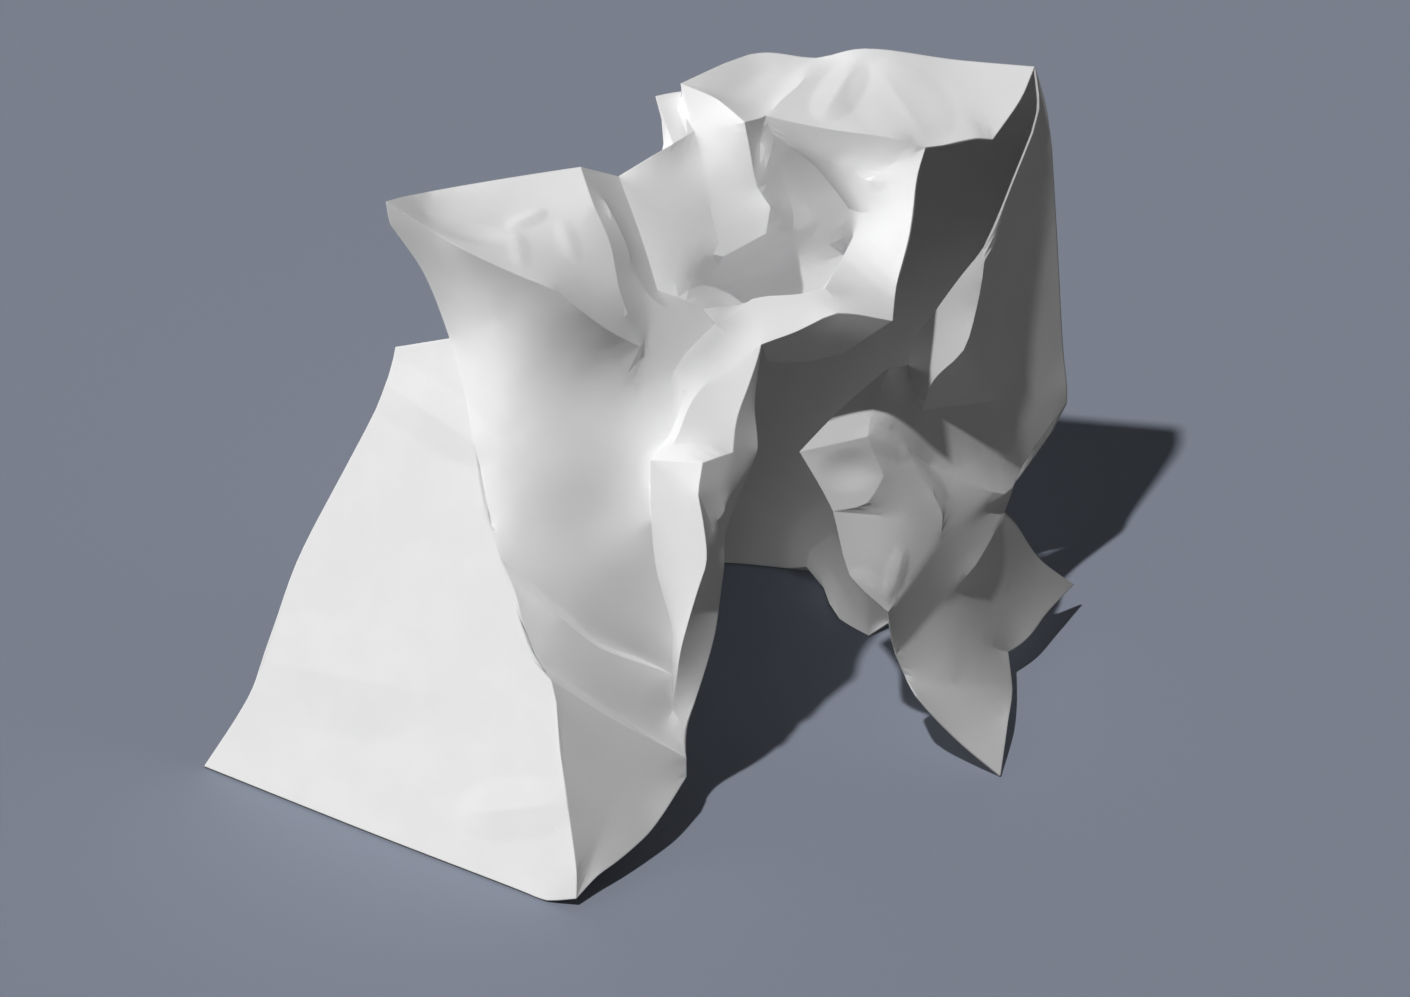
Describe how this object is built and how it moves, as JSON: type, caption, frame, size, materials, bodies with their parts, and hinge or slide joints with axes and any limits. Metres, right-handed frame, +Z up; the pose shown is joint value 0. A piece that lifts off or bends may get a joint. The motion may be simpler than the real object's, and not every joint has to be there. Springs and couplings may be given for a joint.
{
  "type": "crumpled paper",
  "caption": "Sheet of heavy white paper, crumpled by hand and set down on its edges as a standing arch.",
  "frame": {"origin": "centre of the footprint's bounding box, on the floor", "axes": "+X along the sheet's longest extent, left to right, -Y towards the viewer, +Z up"},
  "size_m": [0.2084, 0.1428, 0.1506],
  "materials": {
    "paper": "matte"
  },
  "bodies": {
    "root": {"crumpled_sheet": "paper"}
  },
  "joints": []
}
